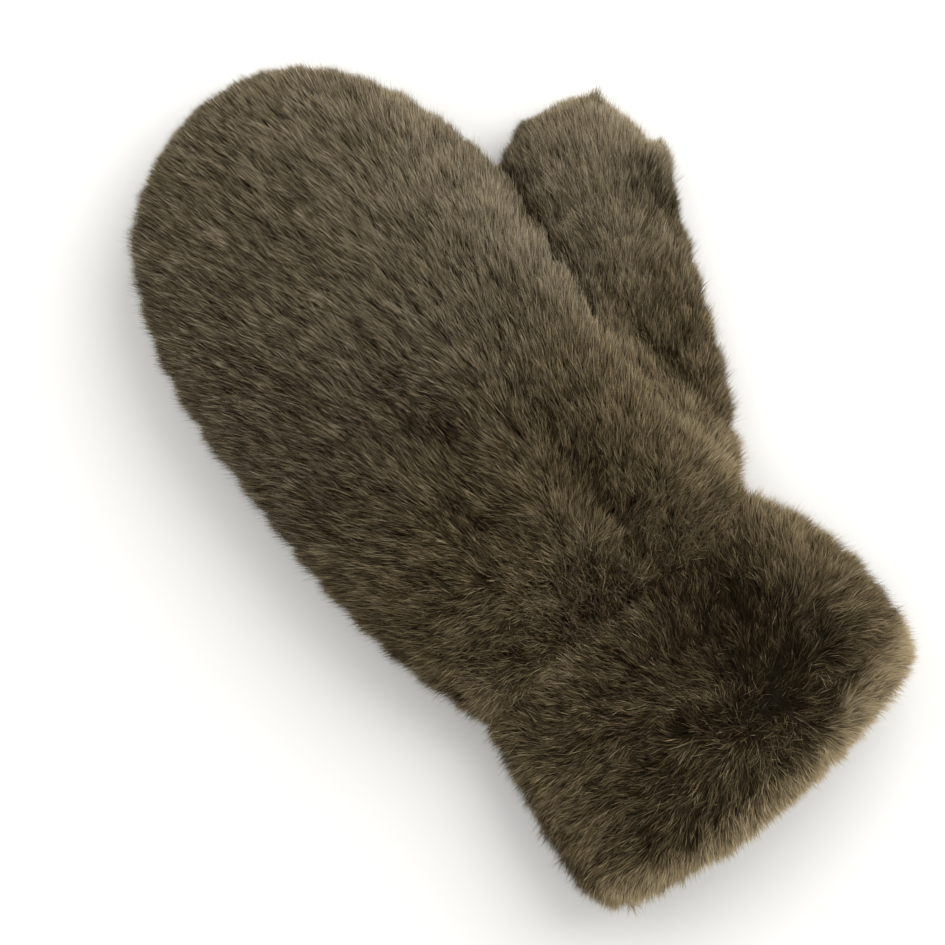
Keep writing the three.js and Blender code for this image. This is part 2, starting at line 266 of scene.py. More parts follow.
def tree_of(mesh):
    """A search tree of a mesh's faces."""
    faces = [tuple(face.vertices) for face in mesh.polygons]
    return BVHTree.FromPolygons(vertex_array(mesh).tolist(), faces)


def from_wrist(points):
    """How far points are from the wrist seam's middle, in mm: to the thumb's side and to the
    fingers."""
    return (points[:, 0] - WRIST[0]) / MM, (points[:, 1] - WRIST[1]) / MM


def dot(a, b):
    return np.einsum("ij,ij->i", a, b)[:, None]


def unit(vectors):
    return vectors / np.maximum(np.linalg.norm(vectors, axis=1, keepdims=True), 1e-12)


def smoothstep(value, low, high):
    t = np.clip((value - low) / (high - low), 0, 1)
    return t * t * (3 - 2 * t)


def ripple(points, wavelength, seed):
    """Smooth noise from about -1 to 1 with hills about a wavelength apart."""
    rng = np.random.default_rng(seed)
    total = np.zeros(len(points))
    for _ in range(RIPPLE_WAVES):
        direction = unit(rng.normal(size=(1, 3)))[0]
        pitch = wavelength * rng.uniform(0.7, 1.5)
        total += np.sin(points @ direction * (2 * math.pi / pitch) + rng.uniform(0, 2 * math.pi))
    return total / (0.4 * RIPPLE_WAVES)


# The skin: the fur's outer form over all the pieces at once, which the fibres grow from

SKIN_VOXEL = 2 * MM
SKIN_SMOOTHING = 16  # passes that take the locks out of the form
RAY_START = MM  # how far off a face its ray starts, so that it misses the face itself
TURNED_IN = 16 * MM  # how far the cuff's fur goes on inside its mouth
CREASE_WIDTH = 4 * MM


class Skin:
    """The outer form as arrays, one entry for each triangle."""

    def __init__(self):
        form = merged_copy(PIECES, "skin")
        remesh_and_smooth(form, SKIN_VOXEL, SKIN_SMOOTHING)
        mesh = form.data
        mesh.calc_loop_triangles()
        corners = np.empty(len(mesh.loop_triangles) * 3, np.int32)
        mesh.loop_triangles.foreach_get("vertices", corners)
        self.corners = corners.reshape(-1, 3)
        self.points = vertex_array(mesh)
        self.normals = vertex_array(mesh, "normal")
        a, b, c = (self.points[self.corners[:, i]] for i in range(3))
        cross = np.cross(b - a, c - a)
        self.area = np.linalg.norm(cross, axis=1) / 2
        self.centres = (a + b + c) / 3
        self.facing = unit(cross)
        bpy.data.objects.remove(form)
        self.owner = self.nearest_piece()
        self.outside = self.seen_from_outside()
        self.thickness = self.wall_thickness()
        self.crease = self.thumb_crease()

    def nearest_piece(self):
        """The index of the CAD node that each triangle lies on."""
        distances = []
        for piece in PIECES:
            tree = tree_of(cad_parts[piece].data)
            distances.append([tree.find_nearest(Vector(c))[3] for c in self.centres])
        return np.argmin(distances, axis=0)

    def seen_from_outside(self):
        """True for triangles that aren't shut in on all four sides by the mitten's walls."""
        tree = self.tree()
        sides = [Vector(side) for side in ((1, 0, 0), (-1, 0, 0), (0, 0, 1), (0, 0, -1))]
        starts = self.centres + self.facing * RAY_START
        return np.array(
            [any(tree.ray_cast(Vector(s), side)[0] is None for side in sides) for s in starts]
        )

    def wall_thickness(self):
        """How thick the mitten's wall is under each triangle."""
        tree = self.tree()
        starts = self.centres - self.facing * RAY_START
        hits = [tree.ray_cast(Vector(s), -Vector(f)) for s, f in zip(starts, self.facing)]
        return np.array([RAY_START + (hit[3] if hit[0] else 0.0) for hit in hits])

    def thumb_crease(self):
        """1 where the thumb's fur meets the hand's, falling to 0 a few millimetres away."""
        on_thumb = self.owner == PIECES.index("thumb")
        hand = np.flatnonzero(self.outside & (self.owner < PIECES.index("thumb")))
        near = KDTree(len(hand))
        for i, face in enumerate(hand):
            near.insert(self.centres[face], i)
        near.balance()
        gaps = np.array([near.find(centre)[2] for centre in self.centres[on_thumb]])
        crease = np.zeros(len(self.centres))
        crease[on_thumb] = np.exp(-((gaps / CREASE_WIDTH) ** 2))
        return crease

    def tree(self, chosen=slice(None)):
        """A search tree of the triangles that are chosen, or else of them all."""
        return BVHTree.FromPolygons(self.points.tolist(), self.corners[chosen].tolist())


made_once = {}  # what several steps share, each made when it is first asked for


def skin():
    if "skin" not in made_once:
        made_once["skin"] = Skin()
    return made_once["skin"]


# The lie of the pile

# Folds and brushed patches of the upper side, in mm from the wrist seam's middle. turn is
# degrees from the fingers' direction towards the thumb. deep is how much shorter the fur
# stands there, or below 0 longer, and tone how much lighter it looks, or below 0 darker.
# The tone is partly the fur's own streaks and partly painted light and shade: painted shade
# in the folds' hollows, and painted light on the edges of the hand, the thumb and the cuff
# that face the key lamp on the thumb's side.
FOLDS_AND_PAINTED_LIGHT = [
    {"x": -7, "y": 82, "length": 18, "width": 8, "turn": -15, "deep": 0.5, "tone": -0.28},
    {"x": -14, "y": 50, "length": 12, "width": 7, "turn": -35, "deep": 0.5, "tone": -0.22},
    {"x": -26, "y": 44, "length": 12, "width": 9, "turn": -40, "deep": 0.2, "tone": -0.1},
    {"x": -36, "y": 19, "length": 24, "width": 7, "turn": -50, "deep": 0.3, "tone": -0.15},
    {"x": 6, "y": 53, "length": 45, "width": 28, "turn": 0, "deep": 0.0, "tone": -0.06},
    {"x": 20, "y": 38, "length": 32, "width": 5, "turn": 4, "deep": 0.5, "tone": -0.2},
    {"x": 7, "y": 28, "length": 30, "width": 8, "turn": 2, "deep": 0.0, "tone": 0.2},
    {"x": -14, "y": 22, "length": 7, "width": 10, "turn": 0, "deep": 0.0, "tone": 0.12},
    {"x": -38, "y": 28, "length": 45, "width": 34, "turn": 0, "deep": 0.0, "tone": 0.05},
    {"x": 36, "y": 16, "length": 28, "width": 13, "turn": 0, "deep": 0.0, "tone": 0.12},
    {"x": -44, "y": 197, "length": 16, "width": 16, "turn": 0, "deep": -0.5, "tone": 0.0},
    {"x": 100, "y": 131, "length": 12, "width": 9, "turn": 0, "deep": -0.5, "tone": 0.1},
    {"x": 109, "y": 138, "length": 5, "width": 6, "turn": 0, "deep": 1.2, "tone": 0.0},
    {"x": -42, "y": 90, "length": 65, "width": 28, "turn": 0, "deep": 0.0, "tone": -0.16},
    {"x": 28, "y": 160, "length": 70, "width": 24, "turn": 0, "deep": 0.0, "tone": 0.11},
    {"x": 52, "y": 150, "length": 60, "width": 14, "turn": -4, "deep": 0.0, "tone": 0.2},
    {"x": 57, "y": 60, "length": 80, "width": 6, "turn": -2, "deep": 0.0, "tone": 0.5},
    {"x": 65, "y": 52, "length": 28, "width": 3, "turn": -2, "deep": 0.6, "tone": -0.26},
    {"x": 99, "y": 94, "length": 17, "width": 6, "turn": 0, "deep": 0.5, "tone": -0.3},
    {"x": 109, "y": 104, "length": 26, "width": 5, "turn": 0, "deep": 0.0, "tone": 0.3},
    {"x": 86, "y": 81, "length": 22, "width": 6, "turn": -13, "deep": 0.0, "tone": 0.18},
    {"x": 77, "y": 61, "length": 13, "width": 4, "turn": 0, "deep": 0.3, "tone": -0.03},
    {"x": 72, "y": 78, "length": 13, "width": 5, "turn": 0, "deep": 0.0, "tone": 0.1},
    {"x": 87, "y": 50, "length": 24, "width": 6, "turn": 20, "deep": 0.0, "tone": 0.2},
    {"x": 96, "y": 124, "length": 36, "width": 22, "turn": 12, "deep": 0.0, "tone": 0.35},
    {"x": 48, "y": 125, "length": 30, "width": 12, "turn": 0, "deep": 0.0, "tone": 0.07},
    {"x": 0, "y": 190, "length": 30, "width": 60, "turn": 0, "deep": 0.0, "tone": -0.04},
    {"x": 27, "y": -31, "length": 27, "width": 15, "turn": 20, "deep": 0.5, "tone": -0.27},
    {"x": 28, "y": -49, "length": 7, "width": 11, "turn": 0, "deep": 0.4, "tone": -0.16},
    {"x": 30, "y": -17, "length": 5, "width": 13, "turn": 0, "deep": 0.3, "tone": -0.12},
    {"x": 15, "y": -53, "length": 7, "width": 7, "turn": 0, "deep": 0.5, "tone": -0.25},
    {"x": 3, "y": -40, "length": 11, "width": 3, "turn": -30, "deep": 0.0, "tone": 0.24},
    {"x": 5, "y": 0, "length": 3, "width": 18, "turn": 8, "deep": 0.6, "tone": -0.26},
    {"x": -24, "y": -2, "length": 4, "width": 13, "turn": 0, "deep": 0.0, "tone": 0.25},
    {"x": -14, "y": -52, "length": 20, "width": 20, "turn": 0, "deep": 0.0, "tone": -0.1},
    {"x": -56, "y": -40, "length": 40, "width": 10, "turn": 0, "deep": 0.0, "tone": 0.2},
    {"x": 62, "y": -25, "length": 60, "width": 17, "turn": 0, "deep": -0.15, "tone": 0.38},
]


def folds_and_painted_light_at(points, column):
    """The sum of a column of the folds, with their painted light and shade, at points of the upper
    side.
    """
    x, y = from_wrist(points)
    total = np.zeros(len(points))
    for fold in FOLDS_AND_PAINTED_LIGHT:
        turn = math.radians(fold["turn"])
        away_x, away_y = x - fold["x"], y - fold["y"]
        down = away_x * math.sin(turn) + away_y * math.cos(turn)
        side = away_x * math.cos(turn) - away_y * math.sin(turn)
        shape = np.exp(-((down / fold["length"]) ** 2) - (side / fold["width"]) ** 2)
        total += fold[column] * shape
    return total


MESS_ON_CUFF = 0.55  # how tousled the cuff's fur is, as a share of the fur at the wrist seam
MESS_TO_FINGERS = 34  # mm over which the tousling fades from the seam towards the fingers
MESS_TO_HEM = 16  # mm over which it fades towards the hem


def wrist_mess(points):
    """How tousled the fur is: 0 on the fingers, 1 at the wrist seam, and half on the cuff."""
    _, y = from_wrist(points)
    on_hand = np.exp(-((y / MESS_TO_FINGERS) ** 2))
    on_cuff = MESS_ON_CUFF + (1 - MESS_ON_CUFF) * np.exp(-((y / MESS_TO_HEM) ** 2))
    return np.where(y > 0, on_hand, on_cuff)


WHORL = (14.0, -54.0)  # mm from the wrist seam's middle to where the cuff's fur parts
WHORL_SIZE = 11.0  # mm from there to where the fur lies in order again
WHORL_STRETCH = 0.65  # below 1, so the fur runs more along the cuff than across it
# What bends the fur's ways out of the whorl. push is how many mm the middle seems to move.
WHORL_RIPPLES = [
    {"push": 8, "wavelength": 26 * MM, "seeds": (11, 12)},
    {"push": 6, "wavelength": 8 * MM, "seeds": (13, 14)},
]


def in_whorl(points):
    """1 in the middle of the whorl, falling to 0 round it."""
    x, y = from_wrist(points)
    return np.exp(-((x - WHORL[0]) ** 2 + (y - WHORL[1]) ** 2) / WHORL_SIZE**2)


HEM_RISE = 12 * MM  # how far the hem's corners stand back from its middle
HEM_ROUNDNESS = 2.5  # the power of its curve


def from_hem(points):
    """How far points lie from the hem, along the cuff."""
    corner = np.abs((points[:, 0] - WRIST[0]) / (CUFF_HIGH.x - WRIST[0])) ** HEM_ROUNDNESS
    return points[:, 1] - CUFF_LOW.y - HEM_RISE * corner


# The parting on the hand, in mm from the wrist seam's middle. Past straight_to it runs to the
# thumb's side, slope mm across for each mm up. The fur turns fully away width mm from it.
PARTING = {"x": -10, "straight_to": 20, "slope": 0.33, "width": 16}
FAN_AT_FINGERS = 12  # degrees by which the fur turns away from the parting
FAN_AT_WRIST = 42  # degrees that are added at the wrist
FAN_FADE = 42  # mm over which they fade


def brushed(points, on_thumb):
    """The direction in which the fur is brushed. On the thumb it follows the thumb. On the hand
    it fans out from a parting, the more the nearer the wrist. On the cuff it points away from
    the whorl."""
    if on_thumb:
        return np.tile(ALONG_THUMB, (len(points), 1))
    x, y = from_wrist(points)
    parting = PARTING["x"] + PARTING["slope"] * np.maximum(y - PARTING["straight_to"], 0)
    fan = np.radians(FAN_AT_FINGERS + FAN_AT_WRIST * np.exp(-((y / FAN_FADE) ** 2)))
    fan *= np.tanh((x - parting) / PARTING["width"])
    away_x, away_y = WHORL_STRETCH * (x - WHORL[0]), y - WHORL[1]
    for row in WHORL_RIPPLES:
        away_x += row["push"] * ripple(points, row["wavelength"], row["seeds"][0])
        away_y += row["push"] * ripple(points, row["wavelength"], row["seeds"][1])
    turn = np.where(y < 0, np.arctan2(away_x, away_y), fan)
    return np.column_stack([np.sin(turn), np.cos(turn), np.zeros(len(points))])


def turned_by(lie, normals, angle):
    """Directions turned about the normals, and kept from running into the surface."""
    turned = lie * np.cos(angle)[:, None] + np.cross(normals, lie) * np.sin(angle)[:, None]
    return turned - normals * np.minimum(dot(turned, normals), 0)


SIDES_TO_HEM = 0.7  # how far the fur on the cuff's sides turns to the hem
# calm is how many degrees a swirl turns the fur by, and tousled how many more at the wrist.
SWIRLS = [
    {"wavelength": 34 * MM, "seed": 3, "calm": 6, "tousled": 10},
    {"wavelength": 13 * MM, "seed": 4, "calm": 4, "tousled": 16},
    {"wavelength": 4 * MM, "seed": 7, "calm": 4, "tousled": 8},
]


def nap(points, normals, on_thumb):
    """The direction in which the fur lies, along the surface but for swirls. At the cuff's sides
    it turns to the hem."""
    lie = brushed(points, on_thumb)
    sideways = np.clip(dot(lie, normals), 0, 1) * np.abs(normals[:, :1])
    on_cuff = points[:, 1:2] < WRIST[1]
    lie += SIDES_TO_HEM * sideways * (TO_HEM - lie) * on_cuff
    mess = wrist_mess(points)
    swirl = np.zeros(len(points))
    for row in SWIRLS:
        turn = np.radians(row["calm"] + row["tousled"] * mess)
        swirl += turn * ripple(points, row["wavelength"], row["seed"])
    return turned_by(lie, normals, swirl)


WISP_WIDTH = 0.8 * MM
WISP_LENGTH = 9 * MM
WISP_STEPS = 9  # how many cells along a wisp are added up
WISP_VALUES = 4096  # how many values the cells share
WISP_SHUFFLE = (7385, 1934, 8349)  # what a cell's place is multiplied by to pick its value


def wisps(points, lie, seed):
    """Values from about -1 to 1 that stay alike along the lie and change across it, so that
    the fibres that share one form a wisp."""
    values = np.random.default_rng(seed).uniform(-1, 1, WISP_VALUES)
    total = np.zeros(len(points))
    for step in np.linspace(-0.5, 0.5, WISP_STEPS):
        cell = np.floor((points + lie * (step * WISP_LENGTH)) / WISP_WIDTH).astype(np.int64)
        total += values[cell @ WISP_SHUFFLE % WISP_VALUES]
    return total / math.sqrt(WISP_STEPS)


def lean(lie, normals, angle):
    """The direction of fibres that stand at an angle to the surface."""
    return unit(lie * np.cos(angle)[:, None] + normals * np.sin(angle)[:, None])


# A fibre's tone runs from 0, dark, to 1, light. A pair of places is where a change starts and
# where it is full, in mm from the wrist seam.
TONE_AT_SEAM = 0.3
LIGHTER_FINGERS, TO_FINGERS = 0.07, (0, 110)
DARKER_CUFF, TO_CUFF = 0.2, (10, -15)
# Painted light: the pale band along the hem stands for light on the fibre tips there, strongest on
# the thumb's side.
PAINTED_HEM_LIGHT = 0.86
PAINTED_HEM_LIGHT_THUMB_SIDE, TO_THUMB_SIDE = 0.4, (0, 40)  # at the hem alone
PAINTED_HEM_LIGHT_BAND = (3 * MM, 16 * MM)  # how far from the hem the pale band starts to fade, and ends
PATCHES = [
    {"tone": 0.035, "wavelength": 30 * MM, "seed": 5},
    {"tone": 0.03, "wavelength": 9 * MM, "seed": 6},
]
TONE_SCATTER = 0.25
BROWN_LEAST = 0.1  # the share of browner fibres at the fingertips
BROWNER_WRIST, TO_BROWN = 0.8, (110, 45)


def fibre_tone(points, rng):
    """How light fibres are, from 0 to 1. They are darkest on the cuff, but for its hem, which has
    painted light, and the folds' tone adds painted light and shade.
    """
    x, y = from_wrist(points)
    tone = TONE_AT_SEAM + LIGHTER_FINGERS * smoothstep(y, *TO_FINGERS)
    tone -= DARKER_CUFF * smoothstep(y, *TO_CUFF)
    # the painted light along the hem
    band = 1 - smoothstep(from_hem(points), *PAINTED_HEM_LIGHT_BAND)
    tone += (PAINTED_HEM_LIGHT + PAINTED_HEM_LIGHT_THUMB_SIDE * smoothstep(x, *TO_THUMB_SIDE)) * band
    for patch in PATCHES:
        tone += patch["tone"] * ripple(points, patch["wavelength"], patch["seed"])
    return tone + TONE_SCATTER * rng.normal(size=len(points)) + folds_and_painted_light_at(points, "tone")


def brown_share(points):
    """The share of fibres that are browner than the rest: few at the fingertips, most at the
    wrist and on the cuff."""
    _, y = from_wrist(points)
    return BROWN_LEAST + BROWNER_WRIST * smoothstep(y, *TO_BROWN)


# Fibres

ATLAS = "OFBake"  # the map with a fibre's tone across and its length up, brown ones on top
ATLAS_WIDTH = 0.004  # width of one fibre on that map
ATLAS_UP = {"root": 0.005, "middle": 0.25, "tip": 0.495}
FIBRE_FACES = np.array([0, 1, 2, 2, 1, 3])  # the root is 0, the middle 1 and 2, the tip 3


def build_fibres(name, root, middle, tip, side, width, tone, brown):
    """One mesh of flat fibres, each two triangles that meet at its middle, where it is widest
    and bends. Its root and its tip are points."""
    count = len(root)
    half = side * width[:, None] / 2
    points = np.stack([root, middle + half, middle - half, tip], axis=1)
    mesh = bpy.data.meshes.new(name)
    mesh.vertices.add(4 * count)
    mesh.vertices.foreach_set("co", points.astype(np.float32).ravel())
    loops = (np.arange(count)[:, None] * 4 + FIBRE_FACES).astype(np.int32)
    mesh.loops.add(6 * count)
    mesh.loops.foreach_set("vertex_index", loops.ravel())
    mesh.polygons.add(2 * count)
    mesh.polygons.foreach_set("loop_start", np.arange(0, 6 * count, 3, dtype=np.int32))
    mesh.update(calc_edges=True)
    across = np.array([0, 0.5, -0.5, 0])[FIBRE_FACES] * ATLAS_WIDTH
    heights = [ATLAS_UP[place] for place in ("root", "middle", "middle", "tip")]
    up = np.array(heights)[FIBRE_FACES]
    up = np.where(brown[:, None], 1 - up, up)
    tone = np.clip(tone, ATLAS_WIDTH, 1 - ATLAS_WIDTH)
    atlas = np.stack([tone[:, None] + across, up], axis=2)
    layer = mesh.uv_layers.new(name=ATLAS)
    layer.uv.foreach_set("vector", atlas.astype(np.float32).ravel())
    made = link_object(name, mesh)
    bpy.ops.object.shade_smooth()
    return made


FLOOR_CLEAR = 0.6 * MM
WALL_SHARE = 0.62  # the most of the wall's thickness that the roots go down
PRESSED_UNDER = 8 * MM  # how high over the floor the mitten's weight still presses the fur
PRESSED_FACING = (0.55, 0.95)  # how far down a place faces where that starts, and is full
THIN_UNDER = 6 * MM  # how high over the floor fewer fibres grow, because they don't show
THIN_FACING = 0.7  # how far down a face looks there
THIN_SHARE = 0.15  # how many grow there, as a share of elsewhere
TUCK_FACING = (0.4, 0.9)  # how far to the hem a place faces where the tuck starts, and is full
TUCK_BEYOND = -50  # mm from the wrist seam, past which it may start
TUCK_LEAST = 0.5  # its share on the little finger's side
TUCK_ACROSS = (0, 20)  # mm across from the seam's middle to where it starts to grow, and is full


def growing_faces(piece):
    """The skin's faces that a piece's fur grows on, and how likely each is to get a fibre."""
    form = skin()
    mouth = from_hem(form.centres) < TURNED_IN
    mine = form.owner == PIECES.index(piece)
    faces = np.flatnonzero(mine & (form.outside | mouth))
    thin = (form.facing[faces, 2] < -THIN_FACING) & (form.centres[faces, 2] < THIN_UNDER)
    return faces, form.area[faces] * np.where(thin, THIN_SHARE, 1.0)


def choose_places(rng, piece, count):
    """Random places where a piece's fur grows, with the smooth normals and the faces there."""
    form = skin()
    faces, weights = growing_faces(piece)
    picked = rng.choice(faces, count, p=weights / weights.sum())
    share = rng.random((count, 2))
    over = share.sum(axis=1) > 1
    share[over] = 1 - share[over]
    blend = np.column_stack([1 - share.sum(axis=1), share])[:, :, None]
    corners = form.corners[picked]
    points = (form.points[corners] * blend).sum(axis=1)
    normals = unit((form.normals[corners] * blend).sum(axis=1))
    return points, normals, picked


def pile_depth(sizes, points, normals, thickness):
    """How deep under the outer form the fibres' roots are, and from 0 to 1 how hard the floor
    presses them. They are deepest at the hem, on the thumb's side of it the most."""
    pressed = smoothstep(-normals[:, 2], *PRESSED_FACING) * (points[:, 2] < PRESSED_UNDER)
    depth = sizes.root_depth * (1 - pressed) + sizes.pressed_depth * pressed
    x, y = from_wrist(points)
    tuck = sizes.hem_tuck * (TUCK_LEAST + (1 - TUCK_LEAST) * smoothstep(x, *TUCK_ACROSS))
    depth += tuck * smoothstep(-normals[:, 1], *TUCK_FACING) * (y < TUCK_BEYOND)
    return np.minimum(depth, WALL_SHARE * thickness), pressed


STRAYS = 0.2  # the share of fibres that are thin and stand out from the rest

# What changes a fibre's length, as shares of it
LENGTH_SCATTER = {"by": 0.08, "least": -0.3, "most": 0.2}
LENGTH_IN_WISP = 0.07
LENGTH_HILLS = {"by": 0.05, "wavelength": 7 * MM, "seed": 8}
LONGER_STRAY = 0.25
SHORTER_PRESSED = 0.3
SHORTER_HIDDEN = 0.75
SHORTER_DEEP = {"by": 0.6, "least": -0.6, "most": 1.0}
SHORTER_UPRIGHT = 0.3
CREASE_DEEP = 0.6  # how deep a fold the crease round the thumb counts as
FOLDS_FACING = (-0.5, 0.1)  # how far up a place faces where folds start to show, and are full
HIDDEN_FROM = 2 * MM  # how far from the hem the fur inside the mouth starts to grow shorter

# What turns and tilts it
WISP_TURN = {"degrees": 9, "seed": 10}
OWN_TURN = {"degrees": 5, "tousled": 10, "whorl": 60}
TILT_SCATTER = 0.1
TILT_STRAY = 0.4
FLATTER_PRESSED = 0.8
CURL_SCATTER = {"by": 0.2, "tousled": 0.45}
BEND_SCATTER = 0.12
MOST_ROLL = 0.9

# What changes its width, as shares of it, and its tone
WIDTHS = (0.6, 1.4)
THINNER_STRAY = 0.6
WISP_SEED = 9
TONE_OF_LENGTH = 0.5
TONE_OF_WISP = 0.26
# Painted shade: fibres are darker where the mitten presses them on the floor, inside the cuff's
# mouth and in the crease round the thumb.
PAINTED_SHADE_UNDER_AND_INSIDE = 0.12
PAINTED_SHADE_IN_CREASE = 0.32


def grow_pile(sizes, name, piece, seed, count, length, width, tone_shift):
    """Pile over one of the mitten's pieces. length and width are shares of a fibre's. Every
    fibre has its own length and shade, and the longest are the palest."""
    rng = np.random.default_rng(seed)
    form = skin()
    points, normals, picked = choose_places(rng, piece, count)
    outside, crease, mess = form.outside[picked], form.crease[picked], wrist_mess(points)
    depth, pressed = pile_depth(sizes, points, normals, form.thickness[picked])
    depth = np.where(outside, depth, sizes.pressed_depth)
    hidden = ~outside * smoothstep(from_hem(points), HIDDEN_FROM, TURNED_IN)
    deep = folds_and_painted_light_at(points, "deep") * smoothstep(normals[:, 2], *FOLDS_FACING)
    deep += CREASE_DEEP * crease

    lie = nap(points, normals, piece == "thumb")
    wisp = wisps(points, lie, WISP_SEED)
    apart = np.radians(WISP_TURN["degrees"]) * wisps(points, lie, WISP_TURN["seed"])
    messy = OWN_TURN["tousled"] * mess + OWN_TURN["whorl"] * in_whorl(points)
    apart += np.radians(OWN_TURN["degrees"] + messy) * rng.normal(size=count)
    lie = turned_by(lie, normals, apart)

    stray = (rng.random(count) < STRAYS) * rng.random(count)
    scatter = LENGTH_SCATTER["by"] * rng.normal(size=count)
    own = np.clip(scatter, LENGTH_SCATTER["least"], LENGTH_SCATTER["most"]) + LENGTH_IN_WISP * wisp
    hills = ripple(points, LENGTH_HILLS["wavelength"], LENGTH_HILLS["seed"])
    own += LENGTH_HILLS["by"] * hills
    reach = sizes.fibre_length * length * (1 + own + LONGER_STRAY * stray)
    reach *= (1 - SHORTER_PRESSED * pressed) * (1 - SHORTER_HIDDEN * hidden)
    reach *= 1 - SHORTER_DEEP["by"] * np.clip(deep, SHORTER_DEEP["least"], SHORTER_DEEP["most"])
    reach *= 1 - SHORTER_UPRIGHT * np.clip(dot(lie, normals)[:, 0], 0, 1)

    steep = 1 + TILT_SCATTER * rng.normal(size=count) + TILT_STRAY * stray
    steep *= 1 - FLATTER_PRESSED * pressed
    curl = 1 + (CURL_SCATTER["by"] + CURL_SCATTER["tousled"] * mess) * rng.normal(size=count)
    half = (reach / 2)[:, None]
    root = points - normals * depth[:, None]
    middle = root + lean(lie, normals, sizes.root_angle * steep) * half
    bend = unit(lie + BEND_SCATTER * rng.normal(size=(count, 3)))
    tip = middle + lean(bend, normals, sizes.tip_angle * steep * curl) * half
    for place in (root, middle, tip):
        place[:, 2] = np.maximum(place[:, 2], FLOOR_CLEAR)

    run = unit(tip - root)
    side = unit(np.cross(run, normals))
    roll = rng.uniform(-MOST_ROLL, MOST_ROLL, count)[:, None]
    side = side * np.cos(roll) + np.cross(run, side) * np.sin(roll)
    breadth = sizes.fibre_width * width * rng.uniform(*WIDTHS, count) * (1 - THINNER_STRAY * stray)
    brown = rng.random(count) < brown_share(points)
    tone = fibre_tone(points, rng) + tone_shift + TONE_OF_LENGTH * own + TONE_OF_WISP * wisp
    # painted shade under the mitten, inside the mouth and in the thumb's crease
    tone -= PAINTED_SHADE_UNDER_AND_INSIDE * (pressed + hidden) + PAINTED_SHADE_IN_CREASE * crease
    return build_fibres(name, root, middle, tip, side, breadth, tone, brown)


# Materials

FELT_GRAIN = 1.2 * MM
FELT_RELIEF = 0.5 * MM
RIB_PITCH = 3.2 * MM  # twice a real rib's, so that the ribs show
RIB_RELIEF = 0.3 * MM
BACKING_MOTTLE = 14 * MM
WAVE_TURNS = 20  # a wave texture turns this many radians for each unit of its vector
# How bright a fibre is along its length, as places from 0, the root, to 0.5, the tip. The dark
# root is partly the fibre's own dye and partly painted shade deep in the pile.
FIBRE_DYE_AND_PAINTED_SHADE = {0.0: 0.06, 0.22: 0.42, 0.43: 1.0}


def add_node(tree, kind, settings=None, inputs=None):
    """Adds a node with its settings, and its inputs' values or links."""
    made = tree.nodes.new(kind)
    for name, value in (settings or {}).items():
        setattr(made, name, value)
    for name, value in (inputs or {}).items():
        if isinstance(value, bpy.types.NodeSocket):
            tree.links.new(value, made.inputs[name])
        else:
            made.inputs[name].default_value = value
    return made


def new_material(name):
    """An empty material, with the name and its node tree."""
    material = bpy.data.materials.new(name)
    material.use_nodes = True
    material.node_tree.nodes.clear()
    return material, material.node_tree


def set_stops(ramp, stops):
    """Gives a colour ramp its stops, as pairs of a place and a linear colour."""
    elements = ramp.color_ramp.elements
    while len(elements) < len(stops):
        elements.new(0.5)
    for element, (place, colour) in zip(elements, stops):
        element.position = place
        element.color = (*colour, 1)


def finish_material(tree, shader):
    add_node(tree, "ShaderNodeOutputMaterial", inputs={"Surface": shader.outputs["BSDF"]})


def pile_material(colours, name, roughness):
    """Dyed modacrylic pile: fine matt-satin fibres, dark near the backing and paler at the
    tips, partly their own dye and partly painted shade deep in the pile, each of its own
    shade, so the fur looks deep and streaked. Some are browner than the rest."""
    material, tree = new_material(name)
    atlas = add_node(tree, "ShaderNodeUVMap", {"uv_map": ATLAS})
    place = add_node(tree, "ShaderNodeSeparateXYZ", inputs={"Vector": atlas.outputs["UV"]})
    shade = add_node(tree, "ShaderNodeValToRGB", inputs={"Fac": place.outputs["X"]})
    dark, middle, light = (tuple(c) for c in (colours.dark, colours.middle, colours.light))
    set_stops(shade, [(0.0, dark), (0.5, middle), (1.0, light)])
    is_brown = add_node(
        tree, "ShaderNodeMath", {"operation": "GREATER_THAN"}, {0: place.outputs["Y"], 1: 0.5}
    )
    tinted = add_node(
        tree,
        "ShaderNodeMix",
        {"data_type": "RGBA", "blend_type": "MULTIPLY"},
        {
            "Factor": is_brown.outputs["Value"],
            "A": shade.outputs["Color"],
            "B": (*colours.brown_tint, 1),
        },
    )
    along = add_node(
        tree, "ShaderNodeMath", {"operation": "PINGPONG"}, {0: place.outputs["Y"], 1: 0.5}
    )
    # partly the fibre's own dye and partly painted shade deep in the pile
    length = add_node(tree, "ShaderNodeValToRGB", inputs={"Fac": along.outputs["Value"]})
    set_stops(length, [(place, (shade,) * 3) for place, shade in FIBRE_DYE_AND_PAINTED_SHADE.items()])
    colour = add_node(
        tree,
        "ShaderNodeMix",
        {"data_type": "RGBA", "blend_type": "MULTIPLY"},
        {"Factor": 1.0, "A": tinted.outputs["Result"], "B": length.outputs["Color"]},
    )
    shader = add_node(
        tree,
        "ShaderNodeBsdfPrincipled",
        inputs={
            "Base Color": colour.outputs["Result"],
            "Roughness": roughness,
            "Specular IOR Level": 0.1,
        },
    )
    finish_material(tree, shader)
    return material


